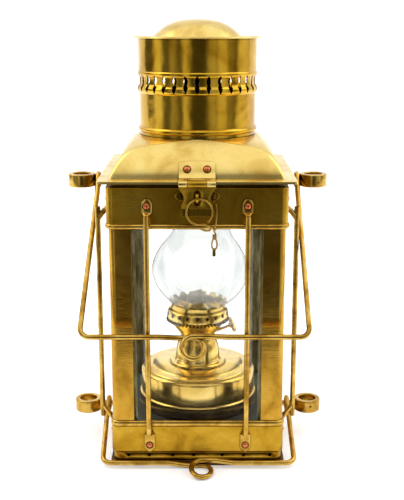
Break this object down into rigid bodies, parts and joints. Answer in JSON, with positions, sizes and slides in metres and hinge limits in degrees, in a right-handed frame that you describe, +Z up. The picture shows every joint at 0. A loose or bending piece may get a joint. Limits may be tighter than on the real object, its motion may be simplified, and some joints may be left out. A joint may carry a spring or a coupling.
{
  "type": "ship lantern",
  "caption": "Square brass ship's lantern with glazed sides, guard rods, hinged ventilated roof with hasp, wire bails, ring lugs and a removable oil lamp inside.",
  "frame": {"origin": "centre of the underside of the base plate", "axes": "+Z up, front of the lantern (hasp side) towards -Y, +X to the right of the front"},
  "size_m": [0.2444, 0.2042, 0.4028],
  "materials": {
    "aged_brass": "rubbed and aged",
    "wire_brass": "drawn wire and castings, aged",
    "polished_brass": "polished, softly worn",
    "dark_brass": "darkened",
    "tarnished_channel": "grey green tarnish",
    "copper_rivet": "bright copper rivet heads",
    "window_glass": "clear",
    "chimney_glass": "clear",
    "wick_cotton": "woven cotton",
    "floor_patina": "dull, with green patina"
  },
  "bodies": {
    "case": {"base_plate": "aged_brass", "bottom_band": "aged_brass", "bottom_wire": "wire_brass", "floor_plate": "floor_patina", "guard_rivet_front_left_low": "copper_rivet", "guard_rivet_front_left_top": "copper_rivet", "guard_rivet_front_right_low": "copper_rivet", "guard_rivet_front_right_top": "copper_rivet", "guard_rivet_left_low": "copper_rivet", "guard_rivet_left_top": "copper_rivet", "guard_rivet_right_low": "copper_rivet", "guard_rivet_right_top": "copper_rivet", "guard_rod_front_left": "wire_brass", "guard_rod_front_right": "wire_brass", "guard_rod_left": "wire_brass", "guard_rod_right": "wire_brass", "guide_back_left": "tarnished_channel", "guide_back_right": "tarnished_channel", "guide_front_left": "tarnished_channel", "guide_front_right": "tarnished_channel", "hinge_body_leaf": "aged_brass", "lamp_seat": "dark_brass", "lug_lower_left": "wire_brass", "lug_lower_right": "wire_brass", "lug_upper_left": "wire_brass", "lug_upper_right": "wire_brass", "pane_back": "window_glass", "pane_front": "window_glass", "pane_left": "window_glass", "pane_right": "window_glass", "plate_rivet_left": "copper_rivet", "plate_rivet_right": "copper_rivet", "post_back_left": "aged_brass", "post_back_right": "aged_brass", "post_front_left": "aged_brass", "post_front_right": "aged_brass", "staple": "aged_brass", "top_band": "aged_brass", "top_bead": "wire_brass", "top_frame": "dark_brass"},
    "roof": {"chimney_cap": "polished_brass", "chimney_drum": "polished_brass", "hasp_upper_leaf": "polished_brass", "hinge_pin": "aged_brass", "hinge_roof_leaf": "aged_brass", "leaf_rivet_left": "copper_rivet", "leaf_rivet_right": "copper_rivet", "roof_shell": "polished_brass"},
    "hasp": {"hasp_leaf": "aged_brass", "hasp_pin": "aged_brass"},
    "lamp": {"oil_font": "aged_brass", "burner": "aged_brass"},
    "linch_ring": {"linch_ring": "wire_brass"},
    "safety_chain": {"safety_chain": "dark_brass"},
    "upper_bail": {"upper_bail": "wire_brass"},
    "lower_bail": {"lower_bail": "wire_brass"},
    "lamp_glass": {"lamp_glass": "chimney_glass"},
    "wick_wheel": {"wick_wheel": "aged_brass"},
    "wick": {"wick": "wick_cotton"}
  },
  "joints": [
    {"name": "roof_hinge", "type": "hinge", "parent": "case", "child": "roof", "pos_m": [0, 0.09, 0.266], "axis": [-1, 0, 0], "range_deg": [0, 105]},
    {"name": "hasp_hinge", "type": "hinge", "parent": "roof", "child": "hasp", "pos_m": [0, -0.09, 0.266], "axis": [-1, 0, 0], "range_deg": [0, 178]},
    {"name": "linch_ring_swing", "type": "hinge", "parent": "case", "child": "linch_ring", "pos_m": [0, -0.0892, 0.2528], "axis": [-1, 0, 0], "range_deg": [0, 90]},
    {"name": "chain_swing", "type": "hinge", "parent": "case", "child": "safety_chain", "pos_m": [0.0144, -0.0829, 0.25], "axis": [-1, 0, 0], "range_deg": [0, 75]},
    {"name": "upper_bail_swing", "type": "hinge", "parent": "case", "child": "upper_bail", "pos_m": [0, 0, 0.2553], "axis": [-1, 0, 0], "range_deg": [0, 285]},
    {"name": "lower_bail_swing", "type": "hinge", "parent": "case", "child": "lower_bail", "pos_m": [0, 0, 0.0287], "axis": [-1, 0, 0], "range_deg": [-165, 12]},
    {"name": "lamp_lift", "type": "slide", "parent": "case", "child": "lamp", "axis": [0, 0, 1], "range_m": [0, 0.09]},
    {"name": "glass_lift", "type": "slide", "parent": "lamp", "child": "lamp_glass", "axis": [0, 0, 1], "range_m": [0, 0.05]},
    {"name": "wick_wheel_turn", "type": "hinge", "parent": "lamp", "child": "wick_wheel", "pos_m": [0.0175, -0.006, 0.1066], "axis": [0.9272, 0, 0.3746], "range_deg": [-75, 75]},
    {"name": "wick_raise", "type": "slide", "parent": "lamp", "child": "wick", "axis": [0, 0, 1], "range_m": [-0.0065, 0.0065]}
  ],
  "couplings": [
    {"joint": "wick_raise", "follows": "wick_wheel_turn", "m_per_rad": 0.0048}
  ]
}
